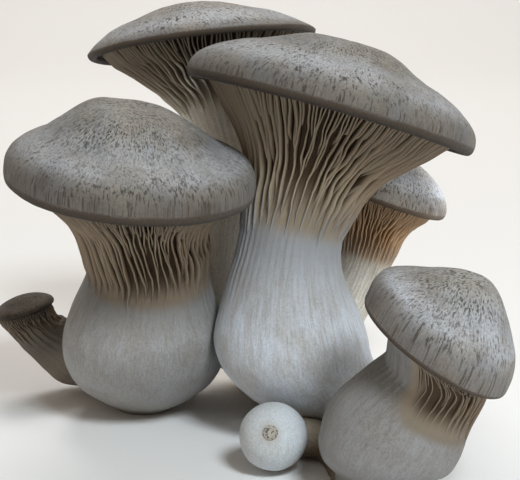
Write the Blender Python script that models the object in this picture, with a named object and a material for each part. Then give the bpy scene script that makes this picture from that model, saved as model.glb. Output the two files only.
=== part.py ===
"""A cluster of king oyster mushrooms, grown together at the base and standing on it.

Units are metres, +Z is up and -Y faces the viewer. The origin is the middle of the bottom of
the whole cluster. Every mushroom is a stem, which carries its gills, and a cap that sits on it
with a hair of space between them.
"""

from dataclasses import dataclass
from math import cos, hypot, pi, radians, sin, sqrt

import bmesh
import bpy
from mathutils import Matrix, Vector

# The middle of the whole cluster's floor plan, in the coordinates that follow.
MIDDLE = Vector((-0.02134, 0.01058, 0.0))
# Space that is left wherever two pieces meet.
SEAM = 0.0004

# The gills: a stem's radius grows from neck to lip by this power of the height.
TRUMPET_POWER = 2.8
# The stem's lip ends at this share of the cap's radius, and hangs this far below its plane.
LIP_SHARE = 0.90
LIP_DROP = 0.0010
# The cap meets its stem on a low cone, this share of the dome high at its middle.
CONE_SHARE = 0.3
# A cap's rim is rolled: its thickness, as a share of the dome's height.
RIM_SHARE = 0.14

# Heights of a stem's rings, where 0 is the foot, 1 the bulb, 2 the neck and 3 the lip.
BULB_RINGS = (0.14, 0.28, 0.48, 0.74, 1.0, 1.28, 1.56, 1.82)
GILL_RINGS = (2.0, 2.26, 2.48, 2.66, 2.82, 2.93, 3.0)
# A cap's rings from its peak to its rim, as shares of its radius.
DOME_RINGS = (0.22, 0.42, 0.6, 0.75, 0.87, 0.95, 0.985)


@dataclass(frozen=True)
class Press:
    """A plane where a neighbour presses: nothing goes past it along its normal."""

    point: tuple
    normal: tuple


@dataclass(frozen=True)
class Mushroom:
    """One mushroom: where its centre line runs, and how wide and how round it is on the way."""

    name: str
    foot: tuple
    bulb: tuple
    neck: tuple
    throat: tuple
    foot_radius: float
    bulb_radius: float
    neck_radius: float
    cap_radius: float
    dome: float
    # The cap's normal, which need not have length 1.
    facing: tuple
    # The way that the stem leaves its foot.
    sprout: tuple = (0.0, 0.0, 1.0)
    # The axis that the bulb is round about.
    bulb_facing: tuple = (0.0, 0.0, 1.0)
    # How far down from its widest the bulb is round, as a share of the way to the foot, and how
    # full it is there, where 2 is a ball.
    undercut: float = 1.0
    belly: float = 2.6
    # The dome's height at a share s of the radius is (1 - s ** fullness) ** fall.
    fullness: float = 1.8
    fall: float = 0.6
    # A knob on the dome: its share of the whole height, and the shares of the radius where its
    # flank begins and ends.
    knob: float = 0.0
    knob_flank: tuple = (0.3, 0.8)
    # How much higher than the other side the dome's own right side is, as a share.
    skew: float = 0.0
    # How far the peak is from the middle of the cap, along the cap's own right and back.
    peak_shift: tuple = (0.0, 0.0)
    # Each is (waves in a full turn, size as a share of the radius, angle of a crest in degrees).
    outline: tuple = ()
    # Each is (waves in a full turn, height in metres, angle of a crest in degrees).
    rim_wave: tuple = ()
    gill_count: int = 36
    gill_depth: float = 0.0016
    cap_sides: int = 32
    stem_presses: tuple = ()
    cap_presses: tuple = ()


CENTRE = Mushroom(
    name="centre",
    foot=(0.0105, 0.0060, 0.0050),
    bulb=(0.0001, 0.0030, 0.0315),
    neck=(-0.0004, 0.0090, 0.0672),
    throat=(0.0135, 0.0140, 0.1112),
    foot_radius=0.0110,
    bulb_radius=0.0261,
    neck_radius=0.0174,
    cap_radius=0.0490,
    dome=0.0220,
    facing=(0.276, 0.12, 0.952),
    undercut=0.96,
    belly=3.2,
    fullness=1.85,
    fall=0.50,
    knob=0.15,
    knob_flank=(0.24, 0.60),
    skew=0.015,
    peak_shift=(-0.0008, -0.0017),
    outline=((2, 0.02, 20.0), (3, 0.012, 80.0)),
    rim_wave=((2, -0.0008, 0.0),),
    gill_count=40,
    gill_depth=0.0020,
    cap_sides=40,
    stem_presses=(Press((-0.0240, 0.0100, 0.03), (-0.96, 0.28, 0.0)),),
    cap_presses=(Press((-0.0142, 0.0412, 0.12), (-0.71, 0.71, 0.0)),),
)
LEFT = Mushroom(
    name="left",
    foot=(-0.0520, 0.0330, 0.0),
    bulb=(-0.0508, 0.0180, 0.0290),
    neck=(-0.0484, 0.0080, 0.0600),
    throat=(-0.0520, -0.0080, 0.0903),
    foot_radius=0.0100,
    bulb_radius=0.0282,
    neck_radius=0.0200,
    cap_radius=0.0398,
    dome=0.0242,
    facing=(0.10, -0.115, 0.983),
    fullness=2.75,
    fall=0.36,
    knob=0.36,
    knob_flank=(0.27, 0.79),
    skew=-0.07,
    peak_shift=(-0.0004, -0.0042),
    outline=((2, 0.02, 10.0), (3, 0.012, 40.0)),
    gill_count=36,
    gill_depth=0.0018,
    cap_sides=36,
    stem_presses=(Press((-0.0244, 0.0101, 0.03), (0.96, -0.28, 0.0)),),
    cap_presses=(Press((-0.0154, 0.0037, 0.09), (0.955, 0.296, 0.0)),),
)
BACK_LEFT = Mushroom(
    name="back_left",
    foot=(-0.0080, 0.0560, 0.0),
    bulb=(-0.0230, 0.0600, 0.0400),
    neck=(-0.0198, 0.0620, 0.0880),
    throat=(-0.0316, 0.0650, 0.1277),
    foot_radius=0.0110,
    bulb_radius=0.0180,
    neck_radius=0.0142,
    cap_radius=0.0408,
    dome=0.0149,
    facing=(-0.117, 0.195, 0.974),
    fullness=1.8,
    fall=0.90,
    knob=-0.08,
    knob_flank=(0.48, 0.81),
    peak_shift=(-0.0038, 0.0),
    outline=((2, 0.02, 0.0),),
    gill_count=36,
    gill_depth=0.0018,
    cap_sides=36,
)
BACK_RIGHT = Mushroom(
    name="back_right",
    foot=(0.0140, 0.0440, 0.0),
    bulb=(0.0150, 0.0490, 0.0240),
    neck=(0.0262, 0.0510, 0.0500),
    throat=(0.0333, 0.0530, 0.0757),
    foot_radius=0.0090,
    bulb_radius=0.0115,
    neck_radius=0.0112,
    cap_radius=0.0253,
    dome=0.0150,
    facing=(0.34, 0.02, 0.94),
    gill_count=24,
    gill_depth=0.0013,
    cap_sides=28,
)
FRONT_RIGHT = Mushroom(
    name="front_right",
    foot=(0.0240, -0.0500, 0.0036),
    bulb=(0.0300, -0.0510, 0.0195),
    neck=(0.0414, -0.0558, 0.0390),
    throat=(0.0414, -0.0580, 0.0500),
    foot_radius=0.0115,
    bulb_radius=0.0213,
    neck_radius=0.0160,
    cap_radius=0.0250,
    dome=0.0219,
    facing=(0.53, -0.115, 0.84),
    fullness=3.0,
    fall=0.36,
    knob=0.28,
    knob_flank=(0.20, 0.89),
    skew=0.14,
    peak_shift=(-0.0038, 0.0),
    gill_count=28,
    gill_depth=0.0013,
    cap_sides=32,
    undercut=0.86,
    bulb_facing=(0.40, -0.05, 0.90),
)
SMALL_LEFT = Mushroom(
    name="small_left",
    foot=(-0.0640, 0.0540, 0.0130),
    bulb=(-0.0780, 0.0500, 0.0150),
    neck=(-0.0890, 0.0475, 0.0228),
    throat=(-0.0964, 0.0440, 0.0340),
    foot_radius=0.0105,
    bulb_radius=0.0122,
    neck_radius=0.0092,
    cap_radius=0.0112,
    dome=0.0042,
    facing=(-0.25, -0.05, 0.96),
    sprout=(-0.98, -0.1, 0.15),
    gill_count=20,
    gill_depth=0.0006,
    cap_sides=24,
    stem_presses=(Press((-0.0699, 0.0461, 0.015), (0.65, -0.76, 0.0)),),
    bulb_facing=(-0.85, -0.10, 0.50),
)
MUSHROOMS = (CENTRE, LEFT, BACK_LEFT, BACK_RIGHT, FRONT_RIGHT, SMALL_LEFT)

# The button, which is still a closed bulb with a cap no bigger than a seed on its tip.
BUTTON_FOOT = Vector((-0.0024, -0.0240, 0.0100))
BUTTON_MIDDLE = Vector((-0.0064, -0.0340, 0.0122))
BUTTON_RADIUS = 0.0108
BUTTON_FOOT_RADIUS = 0.0064
BUTTON_FACING = Vector((-0.10, -0.90, 0.42)).normalized()
BUTTON_CAP_RADIUS = 0.0024
BUTTON_CAP_HEIGHT = 0.0012
BUTTON_SIDES = 24

# The joined base: lumps of stem tissue as (middle, radii), which melt into each other.
BASE_LUMPS = (
    ((0.0120, 0.0370, 0.0040), (0.0205, 0.0290, 0.0190)),
    ((0.0120, 0.0020, 0.0010), (0.0140, 0.0160, 0.0100)),
    ((0.0210, -0.0240, 0.0030), (0.0125, 0.0300, 0.0110)),
    ((0.0240, -0.0460, 0.0010), (0.0140, 0.0130, 0.0080)),
    ((0.0040, -0.0170, 0.0060), (0.0100, 0.0115, 0.0070)),
    ((-0.0130, 0.0380, 0.0180), (0.0160, 0.0100, 0.0090)),
    ((-0.0290, 0.0480, 0.0215), (0.0220, 0.0130, 0.0110)),
    ((-0.0530, 0.0500, 0.0090), (0.0200, 0.0160, 0.0165)),
)
BASE_VOXEL = 0.0042
BASE_SMOOTHING = 4

CAP_COLOUR = (0.30, 0.28, 0.26)
STEM_COLOUR = (0.62, 0.58, 0.52)
BASE_COLOUR = (0.55, 0.50, 0.42)


def clear_scene():
    """Takes away whatever the scene opens with."""
    for thing in list(bpy.data.objects):
        bpy.data.objects.remove(thing)


def skin(name, colour, roughness):
    """A plain matt finish."""
    made = bpy.data.materials.new(name)
    made.use_nodes = True
    shader = made.node_tree.nodes["Principled BSDF"]
    shader.inputs["Base Color"].default_value = (*colour, 1.0)
    shader.inputs["Roughness"].default_value = roughness
    shader.inputs["Metallic"].default_value = 0.0
    return made


def ease(value, low, high):
    """0 below low, 1 above high, and a smooth rise between them."""
    share = min(1.0, max(0.0, (value - low) / (high - low)))
    return share * share * (3.0 - 2.0 * share)


def waves(terms, angle):
    """The sum of a list of (waves in a full turn, size, angle of a crest in degrees)."""
    return sum(size * cos(count * (angle - radians(crest))) for count, size, crest in terms)


def spine_point(mushroom, height):
    """A point of the centre line: 0 is the foot, 1 the bulb, 2 the neck and 3 the throat."""
    knots = [Vector(p) for p in (mushroom.foot, mushroom.bulb, mushroom.neck, mushroom.throat)]
    facing = Vector(mushroom.facing).normalized()
    slopes = [
        Vector(mushroom.sprout).normalized() * (knots[1] - knots[0]).length,
        (knots[2] - knots[0]) / 2.0,
        (knots[3] - knots[1]) / 2.0,
        facing * (knots[3] - knots[2]).length,
    ]
    span = min(2, int(height))
    t = height - span
    return (
        knots[span] * (2 * t**3 - 3 * t**2 + 1)
        + slopes[span] * (t**3 - 2 * t**2 + t)
        + knots[span + 1] * (3 * t**2 - 2 * t**3)
        + slopes[span + 1] * (t**3 - t**2)
    )


def ring_frame(mushroom, height):
    """(middle, right, back, up) of the ring at that height of the stem."""
    step = 0.01
    low, high = max(0.0, height - step), min(3.0, height + step)
    along = (spine_point(mushroom, high) - spine_point(mushroom, low)).normalized()
    sprout, bulb, cap = (
        Vector(v).normalized() for v in (mushroom.sprout, mushroom.bulb_facing, mushroom.facing)
    )
    up = sprout.lerp(bulb, ease(height, 0.0, 1.0)).lerp(along, ease(height, 1.0, 1.8))
    up = up.lerp(cap, ease(height, 1.9, 2.5)).normalized()
    back = (Vector((0.0, 1.0, 0.0)) - up * up.y).normalized()
    return spine_point(mushroom, height), back.cross(up), back, up


def lip_radius(mushroom):
    """Where the gills end, a little inside the cap's rim."""
    return mushroom.cap_radius * LIP_SHARE


def rim_depth(mushroom):
    """How far in under the cap the gills end."""
    return mushroom.cap_radius - lip_radius(mushroom)


def stem_radius(mushroom, height):
    """The stem's radius before its gills: foot to bulb, bulb to neck, and the trumpet above."""
    if height < 1.0:
        below = min(1.0, (1.0 - height) / mushroom.undercut)
        swell = mushroom.bulb_radius * sqrt(1.0 - below**mushroom.belly)
        foot = mushroom.foot_radius * min(1.0, 2.0 * below)
        return (swell**4 + foot**4) ** 0.25
    if height < 2.0:
        swell = (1.0 + cos(pi * (height - 1.0))) / 2.0
        return mushroom.neck_radius + (mushroom.bulb_radius - mushroom.neck_radius) * swell
    flare = (height - 2.0) ** TRUMPET_POWER
    return mushroom.neck_radius + (lip_radius(mushroom) - mushroom.neck_radius) * flare


def outward(mushroom, height):
    """The surface's outward direction at that height, as (away from the centre line, up)."""
    step = 0.02
    low, high = max(0.0, height - step), min(3.0, height + step)
    rise = (spine_point(mushroom, high) - spine_point(mushroom, low)).length
    growth = stem_radius(mushroom, high) - stem_radius(mushroom, low)
    length = hypot(rise, growth)
    return rise / length, -growth / length


def stem_point(mushroom, height, angle, lift=0.0):
    """A point of the stem's skin, raised from it by lift."""
    middle, right, back, up = ring_frame(mushroom, height)
    away, along = outward(mushroom, height)
    flare = ease(height, 2.0, 3.0)
    radius = stem_radius(mushroom, height) * (1.0 + flare * waves(mushroom.outline, angle))
    rim = waves(mushroom.rim_wave, angle) * flare
    drop = LIP_DROP * flare
    direction = right * cos(angle) + back * sin(angle)
    return middle + direction * (radius + away * lift) + up * (rim - drop + along * lift)


def cap_point(mushroom, share, height, angle, tuck=0.0):
    """A point on the cap's own axes: share of the radius less tuck, height above the rim."""
    middle, right, back, up = ring_frame(mushroom, 3.0)
    radius = (mushroom.cap_radius * share - tuck) * (1.0 + waves(mushroom.outline, angle))
    rim = waves(mushroom.rim_wave, angle) * share * share
    shift = max(0.0, height) / mushroom.dome
    across = right * (radius * cos(angle) + mushroom.peak_shift[0] * shift)
    deep = back * (radius * sin(angle) + mushroom.peak_shift[1] * shift)
    return middle + across + deep + up * (height + rim)


def pressed(presses, point, puffed=0.0):
    """The point, held back by every neighbour that presses there."""
    for press in presses:
        normal = Vector(press.normal).normalized()
        past = (point - Vector(press.point)).dot(normal) - puffed
        if past > 0.0:
            point = point - normal * past
    return point


def add_ring(mesh, points):
    """New vertices in a ring."""
    return [mesh.verts.new(p) for p in points]


def bridge(mesh, low, high):
    """Faces between two rings, low to high, where one may have twice as many points."""
    if len(high) == 2 * len(low):
        for i, vertex in enumerate(low):
            after = low[(i + 1) % len(low)]
            crest, valley = high[2 * i], high[2 * i + 1]
            crest_after = high[(2 * i + 2) % len(high)]
            mesh.faces.new((vertex, valley, crest))
            mesh.faces.new((vertex, after, valley))
            mesh.faces.new((after, crest_after, valley))
        return
    if len(low) == 2 * len(high):
        for i, vertex in enumerate(high):
            after = high[(i + 1) % len(high)]
            crest, valley = low[2 * i], low[2 * i + 1]
            crest_after = low[(2 * i + 2) % len(low)]
            mesh.faces.new((crest, valley, vertex))
            mesh.faces.new((valley, after, vertex))
            mesh.faces.new((valley, crest_after, after))
        return
    for i, vertex in enumerate(low):
        after = (i + 1) % len(low)
        mesh.faces.new((vertex, low[after], high[after]))
        mesh.faces.new((vertex, high[after], high[i]))


def fan(mesh, ring, tip):
    """Faces from a ring up to one point."""
    top = mesh.verts.new(tip)
    for i, vertex in enumerate(ring):
        mesh.faces.new((vertex, ring[(i + 1) % len(ring)], top))


def floor_fan(mesh, ring):
    """Faces that close a ring from below, about its middle."""
    middle = sum((v.co for v in ring), Vector()) / len(ring)
    fan(mesh, list(reversed(ring)), middle)


def finish_object(name, mesh, material):
    """The mesh as a smooth-shaded object of that name."""
    mesh.transform(Matrix.Translation(-MIDDLE))
    data = bpy.data.meshes.new(name)
    mesh.to_mesh(data)
    mesh.free()
    data.materials.append(material)
    data.shade_smooth()
    data.set_sharp_from_angle(angle=radians(50.0))
    made = bpy.data.objects.new(name, data)
    bpy.context.scene.collection.objects.link(made)
    return made


def turn(sides):
    """The angles of a ring's points."""
    return [2.0 * pi * i / sides for i in range(sides)]


def gill_lift(mushroom, height, index):
    """How far a gill's crest or the groove beside it stands from the plain trumpet."""
    strength = ease(height, 1.95, 2.35) * (1.0 - 0.65 * ease(height, 2.8, 3.0))
    side = 0.5 if index % 2 == 0 else -0.5
    return mushroom.gill_depth * strength * side


def stem_rings(mushroom, puffed=0.0, last_height=3.0):
    """The stem's rings from foot to lip, puffed out by that much for a cutter."""
    rings = []
    held_back = -rim_depth(mushroom) - SEAM
    for height in (0.0, *BULB_RINGS):
        angles = turn(mushroom.gill_count)
        points = [stem_point(mushroom, height, a, puffed) for a in angles]
        rings.append([pressed(mushroom.stem_presses, p, puffed) for p in points])
    for height in GILL_RINGS:
        if height > last_height:
            break
        points = []
        for i, angle in enumerate(turn(2 * mushroom.gill_count)):
            lift = gill_lift(mushroom, height, i) + puffed
            points.append(stem_point(mushroom, height, angle, lift))
        rings.append([pressed(mushroom.cap_presses, p, held_back) for p in points])
    return rings


def build_stem(mushroom, material):
    """Stem, trumpet and gills in one body, closed by a low cone that the cap sits on."""
    mesh = bmesh.new()
    rings = [add_ring(mesh, points) for points in stem_rings(mushroom)]
    floor_fan(mesh, rings[0])
    for low, high in zip(rings, rings[1:]):
        bridge(mesh, low, high)
    brim = lip_radius(mushroom) - SEAM
    tuck = mushroom.cap_radius - brim
    angles = turn(mushroom.gill_count)
    points = [cap_point(mushroom, 1.0, -LIP_DROP / 2, a, tuck) for a in angles]
    lip = [pressed(mushroom.cap_presses, p, -rim_depth(mushroom) - SEAM) for p in points]
    lip = add_ring(mesh, lip)
    bridge(mesh, rings[-1], lip)
    fan(mesh, lip, cap_point(mushroom, 0.0, mushroom.dome * CONE_SHARE, 0.0))
    return finish_object(f"stem_{mushroom.name}", mesh, material)


def dome_height(mushroom, share, angle):
    """Height of the cap's top above its rim at that share of the radius."""
    lean = 1.0 + 4.0 * mushroom.skew * share * (1.0 - share) * cos(angle)
    plain = (1.0 - share**mushroom.fullness) ** mushroom.fall
    knob = 1.0 - ease(share, *mushroom.knob_flank)
    return mushroom.dome * lean * (plain + (knob - plain) * mushroom.knob)


def build_cap(mushroom, material):
    """Dome, rolled rim and the underside that rests on the stem's cone."""
    mesh = bmesh.new()
    angles = turn(mushroom.cap_sides)
    roll = mushroom.dome * RIM_SHARE
    tuck = rim_depth(mushroom) - 2 * SEAM
    rolled = (
        (0.0, 0.0),
        (-0.45 * roll, 0.08 * roll),
        (-0.85 * roll, 0.45 * roll),
        (-roll, roll),
        (-0.75 * roll, tuck),
        (-LIP_DROP * 0.2, tuck),
    )
    rings = []
    for height, tucked in reversed(rolled):
        points = [cap_point(mushroom, 1.0, height, a, tucked) for a in angles]
        points = [pressed(mushroom.cap_presses, p, -tucked) for p in points]
        rings.append(add_ring(mesh, points))
    for share in reversed(DOME_RINGS):
        points = [cap_point(mushroom, share, dome_height(mushroom, share, a), a) for a in angles]
        rings.append(add_ring(mesh, [pressed(mushroom.cap_presses, p) for p in points]))
    under = mesh.verts.new(
        cap_point(mushroom, 0.0, mushroom.dome * CONE_SHARE + 2 * SEAM, 0.0)
    )
    for i, vertex in enumerate(rings[0]):
        mesh.faces.new((rings[0][(i + 1) % len(angles)], vertex, under))
    for low, high in zip(rings, rings[1:]):
        bridge(mesh, low, high)
    fan(mesh, rings[-1], cap_point(mushroom, 0.0, mushroom.dome, 0.0))
    return finish_object(f"cap_{mushroom.name}", mesh, material)


def button_frame():
    """(right, back) across the button's own axis."""
    right = Vector((1.0, 0.0, 0.0)) - BUTTON_FACING * BUTTON_FACING.x
    right.normalize()
    return right, BUTTON_FACING.cross(right)


def button_rings(puffed=0.0):
    """Rings from the button's foot, over its round body, to its tip."""
    right, back = button_frame()
    rings = []
    steps = 8
    for i in range(steps):
        share = i / steps
        polar = radians(-62.0) + share * radians(62.0 + 74.0)
        radius = BUTTON_RADIUS * cos(polar)
        middle = BUTTON_MIDDLE + BUTTON_FACING * (BUTTON_RADIUS * sin(polar))
        if i == 0:
            middle = BUTTON_FOOT
            radius = BUTTON_FOOT_RADIUS
        radius += puffed
        rings.append(
            [
                middle + right * (radius * cos(a)) + back * (radius * sin(a))
                for a in turn(BUTTON_SIDES)
            ]
        )
    return rings


def build_button(stem_material, cap_material):
    """The closed young bulb, and the seed of a cap on its tip."""
    right, back = button_frame()
    mesh = bmesh.new()
    rings = [add_ring(mesh, points) for points in button_rings()]
    floor_fan(mesh, rings[0])
    for low, high in zip(rings, rings[1:]):
        bridge(mesh, low, high)
    tip = BUTTON_MIDDLE + BUTTON_FACING * BUTTON_RADIUS * 0.97
    fan(mesh, rings[-1], tip)
    finish_object("stem_button", mesh, stem_material)

    mesh = bmesh.new()
    seat = BUTTON_MIDDLE + BUTTON_FACING * (BUTTON_RADIUS + SEAM)
    sections = ((0.8, 0.0), (1.0, 0.35), (0.85, 0.75), (0.45, 0.95))
    rings = []
    for share, height in sections:
        middle = seat + BUTTON_FACING * (BUTTON_CAP_HEIGHT * height)
        radius = BUTTON_CAP_RADIUS * share
        rings.append(
            add_ring(
                mesh,
                [
                    middle + right * (radius * cos(a)) + back * (radius * sin(a))
                    for a in turn(BUTTON_SIDES // 2 + 2)
                ],
            )
        )
    floor_fan(mesh, rings[0])
    for low, high in zip(rings, rings[1:]):
        bridge(mesh, low, high)
    fan(mesh, rings[-1], seat + BUTTON_FACING * BUTTON_CAP_HEIGHT)
    finish_object("cap_button", mesh, cap_material)


def build_cutter(name, rings, below):
    """A closed hidden body from rings, which starts that far below the first of them."""
    mesh = bmesh.new()
    made = [add_ring(mesh, [p + below for p in rings[0]])]
    made += [add_ring(mesh, points) for points in rings]
    floor_fan(mesh, made[0])
    for low, high in zip(made, made[1:]):
        bridge(mesh, low, high)
    fan(mesh, made[-1], sum((v.co for v in made[-1]), Vector()) / len(made[-1]))
    cutter = finish_object(name, mesh, bpy.data.materials["stem_flesh"])
    cutter.hide_render = True
    cutter.display_type = "WIRE"
    return cutter


def build_floor_cutter():
    """A hidden slab whose top is the floor."""
    mesh = bmesh.new()
    bmesh.ops.create_cube(mesh, size=1.0)
    slab = Matrix.Translation((0.0, 0.0, -0.02)) @ Matrix.Diagonal((0.4, 0.4, 0.04, 1.0))
    mesh.transform(slab)
    cutter = finish_object("floor_cutter", mesh, bpy.data.materials["stem_flesh"])
    cutter.hide_render = True
    cutter.display_type = "WIRE"
    return cutter


def build_base(material):
    """The lump that the stems grew from, melted together and cut flat where it was picked."""
    mesh = bmesh.new()
    for middle, radii in BASE_LUMPS:
        place = Matrix.Translation(middle) @ Matrix.Diagonal((*radii, 1.0))
        bmesh.ops.create_icosphere(mesh, subdivisions=3, radius=1.0, matrix=place)
    base = finish_object("joined_base", mesh, material)
    melt = base.modifiers.new("melt", "REMESH")
    melt.mode = "VOXEL"
    melt.voxel_size = BASE_VOXEL
    smooth = base.modifiers.new("smooth", "SMOOTH")
    smooth.factor = 0.5
    smooth.iterations = BASE_SMOOTHING
    cutters = [build_floor_cutter()]
    for mushroom in MUSHROOMS:
        deep = Vector(mushroom.sprout).normalized() * (-SEAM if mushroom.foot[2] > 0.0 else -0.004)
        rings = stem_rings(mushroom, SEAM, 2.0)
        cutters.append(build_cutter(f"cutter_{mushroom.name}", rings, deep))
    rings = button_rings(SEAM)
    cutters.append(build_cutter("cutter_button", rings, -BUTTON_FACING * SEAM))
    for cutter in cutters:
        cut = base.modifiers.new(cutter.name, "BOOLEAN")
        cut.operation = "DIFFERENCE"
        cut.solver = "EXACT"
        cut.object = cutter


def main():
    """Grows the whole cluster."""
    clear_scene()
    cap_material = skin("cap_skin", CAP_COLOUR, 0.75)
    stem_material = skin("stem_flesh", STEM_COLOUR, 0.7)
    base_material = skin("base_tissue", BASE_COLOUR, 0.85)
    for mushroom in MUSHROOMS:
        build_stem(mushroom, stem_material)
        build_cap(mushroom, cap_material)
    build_button(stem_material, cap_material)
    build_base(base_material)


main()
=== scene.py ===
# %% [markdown]
# # A cluster of king oyster mushrooms
# Seven mushrooms grow from one base: six with caps and gills, and one that is still a button.
# The solid model gives every stem and cap its place and its size. This lesson gives them the
# skin that an eye expects: felted grey caps with dark flecks, pale fibrous stems, and rows of
# thin wavy gills. Every finer piece keeps the form of the solid that it stands for.

# %% Load the solid model
from dataclasses import dataclass
from math import pi, radians

import bmesh
import bpy
import numpy as np
from mathutils import Matrix, Vector, noise


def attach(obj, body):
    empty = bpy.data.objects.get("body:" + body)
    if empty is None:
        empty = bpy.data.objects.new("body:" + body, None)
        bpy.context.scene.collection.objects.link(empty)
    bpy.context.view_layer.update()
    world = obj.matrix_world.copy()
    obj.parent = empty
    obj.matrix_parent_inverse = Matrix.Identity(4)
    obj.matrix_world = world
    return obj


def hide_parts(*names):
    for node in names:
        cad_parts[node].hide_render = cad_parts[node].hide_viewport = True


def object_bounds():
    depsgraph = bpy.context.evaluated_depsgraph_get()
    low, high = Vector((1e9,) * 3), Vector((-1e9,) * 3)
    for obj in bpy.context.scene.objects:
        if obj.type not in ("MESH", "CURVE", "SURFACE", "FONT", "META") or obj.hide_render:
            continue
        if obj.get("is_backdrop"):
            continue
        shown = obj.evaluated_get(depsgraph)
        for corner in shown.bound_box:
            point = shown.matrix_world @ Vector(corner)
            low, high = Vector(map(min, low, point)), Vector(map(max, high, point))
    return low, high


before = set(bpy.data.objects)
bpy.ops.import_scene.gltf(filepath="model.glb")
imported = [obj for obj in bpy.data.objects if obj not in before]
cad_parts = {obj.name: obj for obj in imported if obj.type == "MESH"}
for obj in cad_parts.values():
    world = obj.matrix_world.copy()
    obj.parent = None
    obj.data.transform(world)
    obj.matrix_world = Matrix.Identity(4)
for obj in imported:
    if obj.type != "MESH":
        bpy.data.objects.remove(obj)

solid_low, solid_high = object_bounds()
print("solid model:", sorted(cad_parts))
print("its box:", tuple(solid_low), tuple(solid_high))

# %% [markdown]
# ## How one mushroom is described
# A real stem swells into a bulb above its foot, narrows to a neck, and flares like a trumpet
# to the cap's rim. So a mushroom could be drawn by hand, ring after ring, but a few numbers and
# a formula say the same: a centre line through four points, a radius at each, and the cap's
# normal. A height of 0 is the foot, 1 the bulb's widest, 2 the neck and 3 the lip of the gills.

# %% The numbers of one mushroom
MIDDLE = np.array((-0.02134, 0.01058, 0.0))
SEAM = 0.0004
TRUMPET_POWER = 2.8
LIP_SHARE = 0.9
LIP_DROP = 0.001
CONE_SHARE = 0.3
RIM_SHARE = 0.14


@dataclass(frozen=True)
class Press:
    """A plane where a neighbour presses: nothing goes past it along its normal."""

    point: tuple
    normal: tuple


@dataclass(frozen=True)
class Mushroom:
    """One mushroom's centre line, its radii, its cap and its finish."""

    name: str
    foot: tuple
    bulb: tuple
    neck: tuple
    throat: tuple
    foot_radius: float
    bulb_radius: float
    neck_radius: float
    cap_radius: float
    dome: float
    facing: tuple
    sprout: tuple = (0.0, 0.0, 1.0)
    bulb_facing: tuple = (0.0, 0.0, 1.0)
    undercut: float = 1.0
    belly: float = 2.6
    fullness: float = 1.8
    fall: float = 0.6
    knob: float = 0.0
    knob_flank: tuple = (0.3, 0.8)
    skew: float = 0.0
    peak_shift: tuple = (0.0, 0.0)
    outline: tuple = ()
    rim_wave: tuple = ()
    gill_depth: float = 0.0016
    stem_presses: tuple = ()
    cap_presses: tuple = ()
    # How many gills meet the rim, how far down the stem the long ones end, how much they wander,
    # the sides of the mesh, how fat the cap's rim is, how bare of gills the left side is, and
    # how dark the neck is painted: its greyer flesh with painted shade under the cap.
    gills: int = 160
    gill_end: float = 1.9
    gill_sway: float = 1.0
    sides: int = 200
    roll: float = 1.0
    gill_bare: float = 0.0
    neck_shade: float = 0.9
    cap_light: tuple = (0.29, 0.283, 0.272)
    cap_dark: tuple = (0.155, 0.137, 0.115)
    flecks: float = 1.0
    stem_light: tuple = (0.59, 0.63, 0.69)
    stem_warm: tuple = (0.4, 0.355, 0.29)
    # The crest colour is partly the gills' own tan and partly painted shade; the groove colour is
    # painted shade deep between the gills.
    gill_crest: tuple = (0.37, 0.3, 0.215)
    groove_shade: tuple = (0.075, 0.046, 0.024)
    wrinkles: float = 0.15

# %% [markdown]
# ## The six grown mushrooms
# Each one leans, flares and domes in its own way. The one in the middle has the widest cap, which
# dips to the right; the one behind it on the left is the tallest, and the fat one at the front
# right has a cap like a helmet. Each one's numbers are in groups: its centre line, its radii, its
# form, what presses on it, its gills, and its looks.

# %% The six
CENTRE = Mushroom(
    name="centre",
    foot=(0.0105, 0.006, 0.005), bulb=(0.0001, 0.003, 0.0315), neck=(-0.0004, 0.009, 0.0672),
    throat=(0.0135, 0.014, 0.1112),
    foot_radius=0.011, bulb_radius=0.0261, neck_radius=0.0174, cap_radius=0.049, dome=0.022,
    facing=(0.276, 0.12, 0.952), undercut=0.96, belly=3.2, fullness=1.85, fall=0.5, knob=0.15,
    knob_flank=(0.24, 0.6), skew=0.015, peak_shift=(-0.0008, -0.0017),
    outline=((2, 0.02, 20.0), (3, 0.012, 80.0)), rim_wave=((2, -0.0008, 0.0),),
    stem_presses=(Press((-0.024, 0.01, 0.03), (-0.96, 0.28, 0.0)),),
    cap_presses=(Press((-0.0142, 0.0412, 0.12), (-0.71, 0.71, 0.0)),),
    gills=184, gill_depth=0.002, gill_sway=0.6, sides=240,
    flecks=1.2,
)
LEFT = Mushroom(
    name="left",
    foot=(-0.052, 0.033, 0.0), bulb=(-0.0508, 0.018, 0.029), neck=(-0.0484, 0.008, 0.06),
    throat=(-0.052, -0.008, 0.0903),
    foot_radius=0.01, bulb_radius=0.0282, neck_radius=0.02, cap_radius=0.0398, dome=0.0242,
    facing=(0.1, -0.115, 0.983), fullness=2.75, fall=0.36, knob=0.36, knob_flank=(0.27, 0.79),
    skew=-0.07, peak_shift=(-0.0004, -0.0042), outline=((2, 0.02, 10.0), (3, 0.012, 40.0)),
    stem_presses=(Press((-0.0244, 0.0101, 0.03), (0.96, -0.28, 0.0)),),
    cap_presses=(Press((-0.0154, 0.0037, 0.09), (0.955, 0.296, 0.0)),),
    gills=208, gill_depth=0.0018, gill_end=1.62, gill_sway=0.7, sides=224,
    # Its darker stem and gill colours are painted shade, for a bulb that its own wide cap shades from
    # above.
    stem_light=(0.36, 0.36, 0.362), stem_warm=(0.29, 0.262, 0.225), gill_crest=(0.28, 0.22, 0.155),
    groove_shade=(0.058, 0.036, 0.019),
)
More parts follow.
